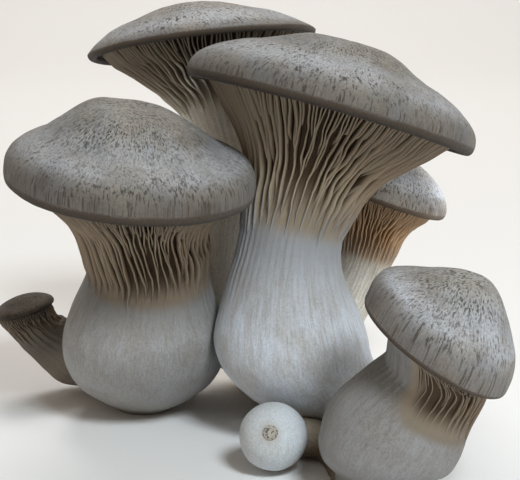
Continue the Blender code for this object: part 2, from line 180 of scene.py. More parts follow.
BACK_LEFT = Mushroom(
    name="back_left",
    foot=(-0.008, 0.056, 0.0), bulb=(-0.023, 0.06, 0.04), neck=(-0.0198, 0.062, 0.088),
    throat=(-0.0316, 0.065, 0.1277),
    foot_radius=0.011, bulb_radius=0.018, neck_radius=0.0142, cap_radius=0.0408, dome=0.0149,
    facing=(-0.117, 0.195, 0.974), fullness=1.8, fall=0.9, knob=-0.08, knob_flank=(0.48, 0.81),
    peak_shift=(-0.0038, 0.0), outline=((2, 0.02, 0.0),),
    gills=160, gill_depth=0.0018, gill_end=2.3, gill_sway=0.7,
    flecks=1.3, neck_shade=0.1, cap_light=(0.37, 0.36, 0.345), cap_dark=(0.21, 0.19, 0.165),
    # Its light stem and crest colours, with little neck shade, are painted light: the stem stands in
    # the centre cap's shadow.
    stem_light=(0.8, 0.76, 0.68), stem_warm=(0.72, 0.65, 0.55), gill_crest=(0.42, 0.36, 0.28),
)
BACK_RIGHT = Mushroom(
    name="back_right",
    foot=(0.014, 0.044, 0.0), bulb=(0.015, 0.049, 0.024), neck=(0.0262, 0.051, 0.05),
    throat=(0.0333, 0.053, 0.0757),
    foot_radius=0.009, bulb_radius=0.0115, neck_radius=0.0112, cap_radius=0.0253, dome=0.015,
    facing=(0.34, 0.02, 0.94),
    gills=200, gill_depth=0.0013, gill_sway=0.5, sides=160,
    # Its light cap, stem and gill colours are painted light, for a mushroom that stands in the shade
    # of the centre cap.
    flecks=0.3, neck_shade=0.1, cap_light=(0.8, 0.81, 0.82), cap_dark=(0.6, 0.59, 0.57),
    stem_light=(0.8, 0.76, 0.68), gill_crest=(0.62, 0.42, 0.255), groove_shade=(0.36, 0.22, 0.115),
)
FRONT_RIGHT = Mushroom(
    name="front_right",
    foot=(0.024, -0.05, 0.0036), bulb=(0.03, -0.051, 0.0195), neck=(0.0414, -0.0558, 0.039),
    throat=(0.0414, -0.058, 0.05),
    foot_radius=0.0115, bulb_radius=0.0213, neck_radius=0.016, cap_radius=0.025, dome=0.0219,
    facing=(0.53, -0.115, 0.84), bulb_facing=(0.4, -0.05, 0.9), undercut=0.86, fullness=3.0,
    fall=0.36, knob=0.28, knob_flank=(0.2, 0.89), skew=0.14, peak_shift=(-0.0038, 0.0),
    gills=176, gill_depth=0.0009, gill_end=1.3, gill_sway=0.5, gill_bare=1.0, sides=208, roll=0.5,
    flecks=0.8, wrinkles=0.25, neck_shade=0.3, cap_light=(0.355, 0.355, 0.355),
    cap_dark=(0.21, 0.198, 0.18),
    stem_light=(0.3, 0.298, 0.3), stem_warm=(0.22, 0.198, 0.17), gill_crest=(0.29, 0.24, 0.18),
    groove_shade=(0.1, 0.067, 0.04),
)
SMALL_LEFT = Mushroom(
    name="small_left",
    foot=(-0.064, 0.054, 0.013), bulb=(-0.078, 0.05, 0.015), neck=(-0.089, 0.0475, 0.0228),
    throat=(-0.0964, 0.044, 0.034), sprout=(-0.98, -0.1, 0.15),
    foot_radius=0.0105, bulb_radius=0.0122, neck_radius=0.0092, cap_radius=0.0112, dome=0.0042,
    facing=(-0.25, -0.05, 0.96), bulb_facing=(-0.85, -0.1, 0.5),
    stem_presses=(Press((-0.0699, 0.0461, 0.015), (0.65, -0.76, 0.0)),),
    gills=96, gill_depth=0.0006, gill_end=2.1, gill_sway=0.5, sides=112,
    flecks=0.3, cap_light=(0.13, 0.105, 0.08), cap_dark=(0.07, 0.053, 0.038),
    stem_light=(0.27, 0.235, 0.195), stem_warm=(0.22, 0.185, 0.145),
    gill_crest=(0.24, 0.2, 0.155), groove_shade=(0.11, 0.085, 0.06),
)
MUSHROOMS = (CENTRE, LEFT, BACK_LEFT, BACK_RIGHT, FRONT_RIGHT, SMALL_LEFT)
print("grown mushrooms:", [m.name for m in MUSHROOMS])

# %% [markdown]
# ## From numbers to a surface
# The stem's skin is a grid: rings up the centre line, and points round each ring. Worked out
# with numpy, a whole grid comes from one formula at once, which is quick even where it is fine.

# %% Rings along the centre line
BULB_TURN, LINE_TURN, CAP_TURN = (0.0, 1.0), (1.0, 1.8), (1.9, 2.5)


def ease(value, low, high):
    """0 below low, 1 above high, and a smooth rise between them."""
    share = np.clip((value - low) / (high - low), 0.0, 1.0)
    return share * share * (3.0 - 2.0 * share)


def waves(terms, angle):
    """The sum of a list of (waves in a full turn, size, angle of a crest in degrees)."""
    total = np.zeros_like(angle)
    for count, size, crest in terms:
        total = total + size * np.cos(count * (angle - radians(crest)))
    return total


def unit(vectors):
    """The vectors at length 1."""
    return vectors / np.linalg.norm(vectors, axis=-1, keepdims=True)


def spine(mushroom, heights):
    """Points of the centre line."""
    knots = np.array((mushroom.foot, mushroom.bulb, mushroom.neck, mushroom.throat))
    slopes = np.array(
        (
            unit(np.array(mushroom.sprout)) * np.linalg.norm(knots[1] - knots[0]),
            (knots[2] - knots[0]) / 2.0,
            (knots[3] - knots[1]) / 2.0,
            unit(np.array(mushroom.facing)) * np.linalg.norm(knots[3] - knots[2]),
        )
    )
    span = np.minimum(2, heights.astype(int))
    t = (heights - span)[:, None]
    return (
        knots[span] * (2 * t**3 - 3 * t**2 + 1)
        + slopes[span] * (t**3 - 2 * t**2 + t)
        + knots[span + 1] * (3 * t**2 - 2 * t**3)
        + slopes[span + 1] * (t**3 - t**2)
    )


def mixed(one, other, share):
    """One vector, turning into the other by a share for each ring."""
    return one * (1.0 - share[:, None]) + other * share[:, None]


def ring_frames(mushroom, heights):
    """(middle, right, back, up) of each ring."""
    low, high = np.maximum(0.0, heights - 0.01), np.minimum(3.0, heights + 0.01)
    along = unit(spine(mushroom, high) - spine(mushroom, low))
    sprout, bulb, cap = (
        unit(np.array(v)) for v in (mushroom.sprout, mushroom.bulb_facing, mushroom.facing)
    )
    up = mixed(sprout, bulb, ease(heights, *BULB_TURN))
    up = mixed(up, along, ease(heights, *LINE_TURN))
    up = unit(mixed(up, cap, ease(heights, *CAP_TURN)))
    back = unit(np.array((0.0, 1.0, 0.0)) - up * up[:, 1:2])
    return spine(mushroom, heights), np.cross(back, up), back, up


def stem_radius(mushroom, heights):
    """Foot to bulb, bulb to neck, and the trumpet above it."""
    below = np.clip((1.0 - heights) / mushroom.undercut, 0.0, 1.0)
    swell = mushroom.bulb_radius * np.sqrt(1.0 - below**mushroom.belly)
    foot = mushroom.foot_radius * ease(below, 0.0, 0.6)
    low = (swell**4 + foot**4) ** 0.25
    swell = (1.0 + np.cos(pi * (np.clip(heights, 1.0, 2.0) - 1.0))) / 2.0
    middle = mushroom.neck_radius + (mushroom.bulb_radius - mushroom.neck_radius) * swell
    lip = mushroom.cap_radius * LIP_SHARE
    flare = np.maximum(0.0, heights - 2.0) ** TRUMPET_POWER
    high = mushroom.neck_radius + (lip - mushroom.neck_radius) * flare
    return np.where(heights < 1.0, low, np.where(heights < 2.0, middle, high))


def outward(mushroom, heights):
    """The skin's outward direction at each ring, as (away from the centre line, up)."""
    low, high = np.maximum(0.0, heights - 0.02), np.minimum(3.0, heights + 0.02)
    rise = np.linalg.norm(spine(mushroom, high) - spine(mushroom, low), axis=1)
    growth = stem_radius(mushroom, high) - stem_radius(mushroom, low)
    length = np.hypot(rise, growth)
    return rise / length, -growth / length


# %% [markdown]
# ## Where neighbours press
# Mushrooms that grow side by side flatten each other. The solid model cuts the pressed side off
# at a plane; flesh gives way more softly, so here the distance past the plane is rounded off.

# %% Points of a stem and of a cap
PRESS_SOFTNESS = 0.0005


def pressed(presses, points, inset=0.0):
    """The points, held back softly by every neighbour that presses there."""
    for press in presses:
        normal = unit(np.array(press.normal))
        past = (points - np.array(press.point)) @ normal + inset
        held = -PRESS_SOFTNESS * np.logaddexp(0.0, -past / PRESS_SOFTNESS)
        near = past > -8.0 * PRESS_SOFTNESS
        points = points + np.where(near, held - past, 0.0)[..., None] * normal
    return points


def stem_points(mushroom, heights, angles, lift=0.0):
    """A grid of points of the stem's skin, raised from it by lift."""
    middle, right, back, up = ring_frames(mushroom, heights)
    away, along = outward(mushroom, heights)
    flare = ease(heights, 2.0, 3.0)[:, None]
    around = 1.0 + flare * waves(mushroom.outline, angles)
    radius = stem_radius(mushroom, heights)[:, None] * around
    raised = flare * (waves(mushroom.rim_wave, angles) - LIP_DROP)
    direction = right[:, None] * np.cos(angles)[:, None] + back[:, None] * np.sin(angles)[:, None]
    points = middle[:, None] + direction * (radius + away[:, None] * lift)[..., None]
    points = points + up[:, None] * (raised + along[:, None] * lift)[..., None]
    inset = mushroom.cap_radius * (1.0 - LIP_SHARE)
    low = pressed(mushroom.stem_presses, points)
    high = pressed(mushroom.cap_presses, points, inset)
    return np.where((heights < 2.0)[:, None, None], low, high)


def cap_points(mushroom, shares, heights, angles, tucks):
    """A grid of points on the cap's own axes: share of the radius less tuck, and height."""
    middle, right, back, up = (v[0] for v in ring_frames(mushroom, np.array([3.0])))
    around = 1.0 + waves(mushroom.outline, angles)
    radius = (mushroom.cap_radius * shares - tucks)[:, None] * around
    rim = waves(mushroom.rim_wave, angles) * (shares**2)[:, None]
    shift = np.maximum(0.0, heights) / mushroom.dome
    across = radius * np.cos(angles) + mushroom.peak_shift[0] * shift
    deep = radius * np.sin(angles) + mushroom.peak_shift[1] * shift
    points = middle + right * across[..., None] + back * deep[..., None]
    return points + up * (heights + rim)[..., None]


print("neck of the centre one:", stem_points(CENTRE, np.array([2.0]), np.array([0.0]))[0, 0])

# %% [markdown]
# ## A skin from a grid
# Rings are joined by four-sided faces, and both ends are closed by a fan of triangles, so each
# piece is one closed body with its faces pointing out. What a finish needs to know about a
# point, such as how far up the stem it is, is kept on the mesh as an attribute.

# %% Grid to object
scene = bpy.context.scene


def new_object(name, data):
    """An object in the scene, with its mesh, lamp or lens."""
    made = bpy.data.objects.new(name, data)
    scene.collection.objects.link(made)
    return made


def settle(made, node=None):
    """Puts a finished piece on the one body, in place of its solid if there is one."""
    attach(made, "root")
    if node:
        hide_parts(node)
    print(made.name, "faces:", len(made.data.polygons))


def skin_of(name, rings, start, end, facts):
    """An object from rings of points and its two end points, with facts kept as attributes."""
    count, sides = rings.shape[:2]
    points = np.concatenate((rings.reshape(-1, 3), [start, end])) - MIDDLE
    index = np.arange(count * sides).reshape(count, sides)
    after = np.roll(index, -1, axis=1)
    quads = np.stack((index[:-1], after[:-1], after[1:], index[1:]), axis=-1).reshape(-1, 4)
    first = count * sides
    low = np.stack((after[0], index[0], np.full(sides, first)), axis=-1)
    high = np.stack((index[-1], after[-1], np.full(sides, first + 1)), axis=-1)
    mesh = bpy.data.meshes.new(name)
    mesh.from_pydata(points.tolist(), [], quads.tolist() + low.tolist() + high.tolist())
    for key, (values, first_value, last_value) in facts.items():
        flat = np.concatenate((values.reshape(count * sides, -1), [first_value], [last_value]))
        kind, field = ("FLOAT_VECTOR", "vector") if flat.shape[1] == 3 else ("FLOAT", "value")
        kept = mesh.attributes.new(key, kind, "POINT")
        kept.data.foreach_set(field, flat.astype(np.float32).ravel())
    mesh.shade_smooth()
    return new_object(name, mesh)


def turn(sides):
    """The angles of a ring's points."""
    return np.arange(sides) * 2.0 * pi / sides


def roughened(points, size, height, offset):
    """Heights of a soft lumpy noise, with lumps of that size, at a grid of points."""
    flat = points.reshape(-1, 3) / size + offset
    values = [noise.noise(Vector(p)) for p in flat.tolist()]
    return height * np.array(values).reshape(points.shape[:-1])


def path_lengths(rings):
    """How far along its own column each point of a grid is, in centimetres."""
    steps = np.linalg.norm(np.diff(rings, axis=0), axis=-1).mean(axis=1)
    return np.concatenate(([0.0], np.cumsum(steps))) * 100.0


def grain_of(angles, lengths):
    """A fact for fibres that run along the columns: the direction round, and the way along."""
    grid = np.zeros((len(lengths), len(angles), 3))
    grid[..., 0] = np.cos(angles)
    grid[..., 1] = np.sin(angles)
    grid[..., 2] = lengths[:, None]
    return grid


# %% [markdown]
# ## Nodes by the handful
# Both the gills and the finishes are node trees. A tree could be clicked together in an editor,
# but in a script it can be read, so a small helper adds a node, feeds its sockets and hands
# back what comes out.

# %% A bench for node trees
BENCH_COLUMNS, BENCH_STEP = 12, (190, -260)
FELT_DEPTH = 0.0005


class Bench:
    """Adds nodes to one tree and joins them up."""

    def __init__(self, tree):
        self.tree = tree

    def feed(self, socket, value):
        """Links a socket to it, or sets it as the socket's own value."""
        if isinstance(value, bpy.types.NodeSocket):
            self.tree.links.new(value, socket)
        else:
            socket.default_value = value

    def add(self, kind, inputs=(), **settings):
        """A new node, its settings and its inputs by name or number."""
        node = self.tree.nodes.new(kind)
        row, column = divmod(len(self.tree.nodes), BENCH_COLUMNS)
        node.location = (column * BENCH_STEP[0], row * BENCH_STEP[1])
        for key, value in settings.items():
            setattr(node, key, value)
        for key, value in dict(inputs).items():
            self.feed(node.inputs[key], value)
        return node

    def math(self, operation, *values):
        """The result of one sum on numbers."""
        return self.add("ShaderNodeMath", enumerate(values), operation=operation).outputs[0]

    def times(self, first, *others):
        """The product of numbers."""
        for other in others:
            first = self.math("MULTIPLY", first, other)
        return first

    def times_plus(self, one, other, rest):
        """One number times another, plus the rest."""
        return self.math("MULTIPLY_ADD", one, other, rest)

    def vector(self, operation, *values):
        """The result of one sum on vectors."""
        return self.add("ShaderNodeVectorMath", enumerate(values), operation=operation).outputs[0]

    def scaled(self, vector, by):
        """The vector times a number."""
        return self.add("ShaderNodeVectorMath", {0: vector, "Scale": by}, operation="SCALE").outputs[0]

    def between(self, value, low, high, start=0.0, end=1.0):
        """start where the value is low, end where it is high, and a smooth rise between."""
        inputs = {"Value": value, 1: low, 2: high, 3: start, 4: end}
        return self.add("ShaderNodeMapRange", inputs, interpolation_type="SMOOTHSTEP").outputs[0]

    def blend(self, share, one, other, how="MIX"):
        """A colour between two."""
        node = self.add("ShaderNodeMix", data_type="RGBA", blend_type=how)
        for key, value in (("Factor", share), (6, one), (7, other)):
            self.feed(node.inputs[key], value)
        return node.outputs[2]

    def dimmed(self, colour, shade):
        """A colour times a number."""
        grey = self.add("ShaderNodeCombineColor", {0: shade, 1: shade, 2: shade}).outputs[0]
        return self.blend(1.0, colour, grey, "MULTIPLY")

    def cloud(self, vector, size=1.0, detail=2.0, roughness=0.5):
        """A noise of about 0 to 1."""
        inputs = {"Vector": vector, "Scale": size, "Detail": detail, "Roughness": roughness}
        return self.add("ShaderNodeTexNoise", inputs).outputs[0]

    def place(self):
        """Where a point is on its object."""
        return self.add("ShaderNodeTexCoord").outputs["Object"]

    def fact(self, name, kind="Fac"):
        """What a mesh keeps of a point under that name."""
        return self.add("ShaderNodeAttribute", attribute_name=name).outputs[kind]

    def grained(self, across, lengthwise, detail=2.0, roughness=0.5):
        """A noise with that many lumps to the centimetre, across the mesh's grain and along it."""
        at = self.vector("MULTIPLY", self.fact("grain", "Vector"), (across, across, lengthwise))
        return self.cloud(at, 1.0, detail, roughness)

    def bump(self, relief, strength):
        """A relief too fine for the mesh, as a normal that it bends."""
        inputs = {"Strength": strength, "Distance": FELT_DEPTH, "Height": relief}
        return self.add("ShaderNodeBump", inputs).outputs[0]


def rgba(colour, by=1.0):
    """A colour made darker or lighter, with nothing see-through."""
    return (*(by * c for c in colour), 1.0)


def new_finish(name):
    """A material, a bench for its nodes, and the inputs of its shader."""
    made = bpy.data.materials.new(name)
    made.use_nodes = True
    return made, Bench(made.node_tree), made.node_tree.nodes["Principled BSDF"].inputs


# %% [markdown]
# ## The finish of the flesh
# A stem is pale and cool where it is lit, with long fibres that show as fine streaks near the
# neck and a felt as fine as flour on the bulb. It is warmer towards the foot, and down between
# the gills little light gets in, so the flesh looks brown there. A photograph wrapped round it
# would not survive a change of view, so noise is stretched along the stem instead, by the
# direction and length that each mesh keeps for its own fibres.

# %% Flesh
FELT = 1500.0
DULL = 0.25
FLESH_SCATTER, SCATTER_WEIGHT, SCATTER_DEPTH = (1.0, 0.6, 0.35), 0.12, 0.002
FOOT_BAND, NECK_BAND = (0.55, 0.05), (1.15, 2.05)
STREAK_BAND, SHADE_UNDER_CAP, CREST_BAND = (0.55, 1.5), (2.45, 2.95), (0.15, 0.65)


def flesh_finish(name, light, warm, crest, groove_shade, wrinkles, neck_shade, gill_end):
    """Fibrous flesh that reads a mesh's grain, its height, and how deep in the gills it is, with
    painted shade on the neck, under the cap and between the gills.
    """
    made, bench, shader = new_finish(name)
    between, blend, times = bench.between, bench.blend, bench.times
    height, depth, place = bench.fact("height"), bench.fact("depth"), bench.place()
    broad = bench.grained(5.0, 0.45, 3.0)
    fibre = bench.grained(20.0, 0.9, 4.0, 0.6)
    hair = bench.grained(60.0, 3.0, 3.0, 0.6)
    felt = bench.cloud(place, FELT, 3.0, 0.6)
    patch = bench.cloud(place, 60.0, 3.0)

    streaky = between(height, *STREAK_BAND, 0.25, 1.0)
    tone = blend(between(patch, 0.4, 0.7, 0.0, 0.4), rgba(light), rgba(warm))
    tone = blend(times(between(fibre, 0.55, 0.34, 0.0, 0.42), streaky), tone, rgba(warm, 0.8))
    tone = blend(times(between(broad, 0.55, 0.36, 0.0, 0.3), streaky), tone, rgba(warm))
    fine = bench.times_plus(hair, 0.5, times(felt, 0.5))
    tone = bench.dimmed(tone, between(fine, 0.34, 0.66, 0.8, 1.1))
    # Painted shade under the cap, with the neck's greyer flesh: the neck is darkened as much as
    # neck_shade says.
    shadow = rgba(0.33 * c + 0.13 * w for c, w in zip(light, warm))
    tone = blend(between(height, *NECK_BAND, 0.0, neck_shade), tone, shadow)
    tone = blend(between(height, *FOOT_BAND, 0.0, 0.75), tone, rgba(warm, 0.85))
    wrinkle = bench.math("ABSOLUTE", bench.math("SUBTRACT", bench.grained(7.0, 1.9, 4.0, 0.6), 0.5))
    wrinkle = times(between(wrinkle, 0.035, 0.0), between(patch, 0.42, 0.58))
    tone = blend(times(wrinkle, wrinkles), tone, rgba(warm, 0.42))
    # Painted shade between the gills, by the depth fact: the flesh turns to the crest colour, dimmed
    # where the gills run out so that it is nearly the shaded neck's own, and then to the groove colour
    # deep between them.
    grown = between(height, gill_end + CREST_BAND[0], gill_end + CREST_BAND[1])
    tone = blend(between(depth, 0.0, 0.26), tone, blend(grown, rgba(crest, 0.66), rgba(crest)))
    tone = blend(between(depth, 0.3, 0.95), tone, rgba(groove_shade))
    # Painted shade under the cap: the flesh is dimmed towards the lip of the trumpet.
    bench.feed(shader["Base Color"], bench.dimmed(tone, between(height, *SHADE_UNDER_CAP, 1.0, 0.62)))

    relief = bench.times_plus(fine, 0.5, times(fibre, streaky))
    relief = bench.times_plus(wrinkle, -0.5 * wrinkles, relief)
    bench.feed(shader["Normal"], bench.bump(relief, 0.4))
    bench.feed(shader["Roughness"], between(felt, 0.3, 0.7, 0.58, 0.75))
    shader["Specular IOR Level"].default_value = DULL
    shader["Subsurface Weight"].default_value = SCATTER_WEIGHT
    shader["Subsurface Radius"].default_value = FLESH_SCATTER
    shader["Subsurface Scale"].default_value = SCATTER_DEPTH
    return made

# %% [markdown]
# ## The finish of the caps
# A king oyster's cap is dry and felted. It is tan-grey on top and paler and cooler in a belt towards
# the rim, partly its own pale margin and partly painted highlight. It is peppered with small dark
# marks that are dots near the peak and dashes further out, with darker flecks that come in drifts,
# and it turns brown where it rolls under: brown fibrils, darkened further by painted shade. The marks
# are noise squeezed sideways and kept only where it is deepest. Painting them one by one would take a
# week, and a noise that follows the cap's own grain lies right on all of them.

# %% Cap skin
MARK, FLECK = (0.07, 0.058, 0.048), (0.04, 0.032, 0.026)
TAUPE, SLATE = (0.33, 0.295, 0.245), (0.285, 0.305, 0.335)
# Under the roll, brown fibrils darkened further by painted shade; at the lip, painted shade alone.
UNDER_ROLL_BROWN_AND_SHADE, LIP_SHADE = (0.085, 0.063, 0.045), (0.032, 0.022, 0.014)
TAUPE_ON = 0.37
PATCHES, HUES, DRIFTS, DOTS = 50.0, 75.0, 110.0, 950.0
DOTS_END, DASHES_FROM = (0.2, 0.42), (0.55, 0.78)
UNDER_BAND, LIP_BAND = (0.885, 1.11), (1.05, 1.45)


def cap_finish(name, light, dark, flecks=1.0):
    """Felted skin that reads a mesh's grain and its share of the way to the rim."""
    made, bench, shader = new_finish(name)
    between, blend, times = bench.between, bench.blend, bench.times
    share, place = bench.fact("share"), bench.place()
    patch = bench.cloud(place, PATCHES, 4.0, 0.6)
    hue = bench.cloud(bench.vector("ADD", place, (0.3, 0.1, 0.7)), HUES, 3.0)
    felt = bench.cloud(place, FELT, 3.0, 0.65)
    drift = bench.cloud(bench.vector("ADD", place, (0.9, 0.4, 0.2)), DRIFTS, 2.0)
    dots = bench.cloud(place, DOTS, 2.0, 0.6)
    short = bench.grained(11.0, 9.5)
    thin = bench.grained(13.0, 10.5, 3.0, 0.6)
    thread = bench.grained(20.0, 2.4, 4.0, 0.65)
    coarse = bench.grained(8.0, 5.5, 3.0, 0.6)

    # Taupe, slate and the browns, which under the roll stand for painted shade, are given as they look
    # on skin of one lightness.
    tint = light[0] / TAUPE_ON
    taupe = rgba(TAUPE, tint)
    tone = blend(between(patch, 0.34, 0.64), rgba(dark), rgba(light))
    tone = blend(between(hue, 0.46, 0.66, 0.0, 0.55), tone, taupe)
    tone = blend(between(hue, 0.5, 0.36, 0.0, 0.45), tone, rgba(SLATE, tint))
    tone = blend(between(share, 0.62, 0.25, 0.0, 0.4), tone, taupe)
    # A paler, cooler belt towards the rim: partly the cap's own pale margin, partly painted highlight
    # where the rolled rim meets the light.
    rim = times(between(share, 0.48, 0.76), between(share, 0.99, 0.86))
    belt = times(rim, between(patch, 0.36, 0.6, 0.35, 0.8))
    tone = blend(belt, tone, (1.2 * light[0], 1.25 * light[1], 1.36 * light[2], 1.0))

    mark = blend(between(share, *DOTS_END), between(dots, 0.5, 0.4), between(short, 0.49, 0.395))
    mark = blend(between(share, *DASHES_FROM), mark, between(thin, 0.47, 0.38))
    gather = between(drift, 0.34, 0.58, 0.7, 1.0)
    marks = times(mark, gather, between(rim, 0.2, 1.0, 1.0, 0.75))
    tone = blend(times(marks, 0.92), tone, rgba(MARK, tint))

    reach = times(between(share, 0.1, 0.34), between(share, 1.02, 0.92))
    deep = times(between(coarse, 0.435, 0.365), reach, between(drift, 0.4, 0.58))
    deep = times(deep, min(1.0, 0.75 * flecks))
    tone = blend(deep, tone, rgba(FLECK))

    fibril = times(between(thread, 0.52, 0.36), between(share, 0.7, 1.02))
    tone = blend(times(fibril, 0.22), tone, rgba(light, 0.45))
    fine = bench.times_plus(thread, 0.35, times(felt, 0.65))
    tone = bench.dimmed(tone, between(fine, 0.34, 0.66, 0.78, 1.2))
    uneven = bench.times_plus(patch, 0.34, times(thread, 0.2))
    edge = bench.math("ADD", bench.math("SUBTRACT", uneven, 0.27), share)
    # Painted shade: the skin turns brown and dark where it rolls under, darkest at the lip, partly
    # from its brown fibrils.
    tone = blend(between(edge, *UNDER_BAND), tone, rgba(UNDER_ROLL_BROWN_AND_SHADE, tint))
    tone = blend(between(share, *LIP_BAND), tone, rgba(LIP_SHADE, tint))
    bench.feed(shader["Base Color"], tone)

    relief = fine
    for dent, by in ((marks, -0.45), (deep, -0.5), (fibril, -0.2)):
        relief = bench.times_plus(dent, by, relief)
    bench.feed(shader["Normal"], bench.bump(relief, 0.55))
    bench.feed(shader["Roughness"], between(felt, 0.3, 0.7, 0.64, 0.85))
    shader["Specular IOR Level"].default_value = DULL
    shader["Sheen Weight"].default_value = 0.1
    shader["Sheen Roughness"].default_value = 0.5
    return made


flesh = {}
for m in MUSHROOMS:
    tones = (m.stem_light, m.stem_warm, m.gill_crest, m.groove_shade)
    flesh[m.name] = flesh_finish(f"flesh_{m.name}", *tones, m.wrinkles, m.neck_shade, m.gill_end)
skins = {m.name: cap_finish(f"skin_{m.name}", m.cap_light, m.cap_dark, m.flecks) for m in MUSHROOMS}
print("finishes:", len(flesh) + len(skins))

# %% [markdown]
# ## The stems
# Each stem is one grid from foot to lip. Where the gills stand the grid is their root, most of
# a gill's depth below the plain trumpet; below the neck the long gills run out as faint ridges.
# Soft lumps, smaller than a millimetre, keep the bulb from looking turned on a lathe.

# %% Stems
STEM_STEPS = (70, 24, 44)
CLOSER_AT = 1.4
RIDGE_HEIGHT = 0.0002
RIDGES_RISE, RIDGES_FADE = (1.3, 1.9), (2.2, 2.5)
GILL_SINK = 0.9
GILL_STAND = 1.45
BARE_AT = radians(190.0)
BARE_REACH = (0.25, 0.8)
ROOTS_DEEP, SHADE_REACH = 2.6, 0.75
# The size of a lump, how high it stands, and where in the noise it is taken.
LUMP, PIT = (0.011, 0.0004, 3.1), (0.003, 0.0001, 8.7)


def stem_heights():
    """Rings from foot to lip, closest in the gills."""
    low = np.linspace(0.0, CLOSER_AT, STEM_STEPS[0], endpoint=False)
    middle = np.linspace(CLOSER_AT, 2.0, STEM_STEPS[1], endpoint=False)
    return np.concatenate((low, middle, np.linspace(2.0, 3.0, STEM_STEPS[2])))


def gilled_side(mushroom, angles):
    """1 where there are gills; towards 0 on the left of a stem that is bare there."""
    return 1.0 - mushroom.gill_bare * ease(np.cos(angles - BARE_AT), *BARE_REACH)


def gill_root(mushroom, heights, angles):
    """How far the gills' roots lie below the plain trumpet."""
    sunk = -GILL_SINK * mushroom.gill_depth * ease(heights, mushroom.gill_end, ROOTS_DEEP)
    return sunk[:, None] * gilled_side(mushroom, angles)


def gill_shade(mushroom, heights, angles):
    """How much painted shade the roots get between the gills: 0 where they run out, 1 under the cap.
    """
    shade = ease(heights, mushroom.gill_end, mushroom.gill_end + SHADE_REACH)
    return shade[:, None] * gilled_side(mushroom, angles)


def everywhere(values, angles):
    """One value for each ring, given to all of its points."""
    return np.repeat(values[:, None], len(angles), axis=1)


def grow_stem(mushroom):
    """The fine stem in place of the solid one."""
    heights, angles = stem_heights(), turn(mushroom.sides)
    plain = stem_points(mushroom, heights, angles)
    lift = roughened(plain, *LUMP) + roughened(plain, *PIT)
    lift = lift * ease(heights, 0.0, 0.15)[:, None]
    fading = ease(heights, *RIDGES_RISE) * (1.0 - ease(heights, *RIDGES_FADE))
    sway = 0.12 * np.sin(7.0 * heights)[:, None] * np.sin(3.0 * angles)
    ridges = np.cos(mushroom.gills // 4 * angles + 4.0 * sway) * (0.6 + 0.4 * np.cos(5 * angles + 1.0))
    lift = lift + RIDGE_HEIGHT * fading[:, None] * ridges + gill_root(mushroom, heights, angles)
    rings = stem_points(mushroom, heights, angles, lift)
    cone = np.array([[mushroom.dome * CONE_SHARE]])
    peak = cap_points(mushroom, np.array([0.0]), cone, angles, np.array([0.0]))
    facts = {
        "grain": (grain_of(angles, path_lengths(rings)), (1, 0, 0), (1, 0, 30)),
        "height": (everywhere(heights, angles), (0,), (3,)),
        "depth": (gill_shade(mushroom, heights, angles), (0,), (1,)),
    }
    made = skin_of(f"fine_stem_{mushroom.name}", rings, rings[0].mean(axis=0), peak[0, 0], facts)
    made.data.materials.append(flesh[mushroom.name])
    settle(made, f"stem_{mushroom.name}")


for mushroom in MUSHROOMS:
    grow_stem(mushroom)

# %% [markdown]
# ## The caps
# A cap is a grid too, from its peak out to the rim and round under it. The rings are closer
# near the rim, where the skin turns fast. The rim itself is a fat roll that hides the ends of
# the gills.

# %% Caps
DOME_STEPS = 60
ROLL_STEPS = 16
CAP_LUMP, CAP_DENT = (0.014, 0.0005, 5.3), (0.0042, 0.00016, 1.9)
FULL_LUMPS_FROM = 0.03


def dome_heights(mushroom, shares, angles):
    """Heights of the cap's top above its rim: a rounded shell, with a softer knob on it."""
    lean = 1.0 + 4.0 * mushroom.skew * (shares * (1.0 - shares))[:, None] * np.cos(angles)
    plain = (1.0 - shares**mushroom.fullness) ** mushroom.fall
    knob = 1.0 - ease(shares, *mushroom.knob_flank)
    return mushroom.dome * lean * (plain + (knob - plain) * mushroom.knob)[:, None]


def grow_cap(mushroom):
    """The fine cap in place of the solid one."""
    angles = turn(mushroom.sides)
    shares = np.sin(np.linspace(pi / 2, 0.03, DOME_STEPS))
    top = cap_points(mushroom, shares, dome_heights(mushroom, shares, angles), angles, 0.0 * shares)
    roll = mushroom.dome * RIM_SHARE * mushroom.roll
    tuck = mushroom.cap_radius * (1.0 - LIP_SHARE) - 2 * SEAM
    swing = np.linspace(pi, 0.0, ROLL_STEPS, endpoint=False)
    tucks = tuck * (1.0 - np.cos(swing)) / 2.0
    drops = everywhere(-roll * np.sin(swing), angles)
    rolled = cap_points(mushroom, np.ones(ROLL_STEPS), drops, angles, tucks)
    rings = pressed(mushroom.cap_presses, np.concatenate((rolled, top)))
    centre = spine(mushroom, np.array([3.0]))[0]
    lumps = roughened(rings, *CAP_LUMP) + roughened(rings, *CAP_DENT)
    size = min(1.0, mushroom.cap_radius / FULL_LUMPS_FROM)
    rings = rings + unit(rings - centre) * (lumps * size)[..., None]
    under = centre + unit(np.array(mushroom.facing)) * (mushroom.dome * CONE_SHARE + 2 * SEAM)
    peak = cap_points(mushroom, np.array([0.0]), np.array([[mushroom.dome]]), angles, np.array([0.0]))
    way = np.concatenate((2.0 - np.linspace(0.0, 1.0, ROLL_STEPS, endpoint=False), shares))
    across = mushroom.cap_radius * 100.0
    grain = grain_of(angles, way * across) * (across, across, 1.0)
    facts = {
        "grain": (grain, (across, 0, 2 * across), (across, 0, 0)),
        "share": (everywhere(way, angles), (2,), (0,)),
    }
    made = skin_of(f"fine_cap_{mushroom.name}", rings, under, peak[0, 0], facts)
    made.data.materials.append(skins[mushroom.name])
    settle(made, f"cap_{mushroom.name}")


for mushroom in MUSHROOMS:
    grow_cap(mushroom)

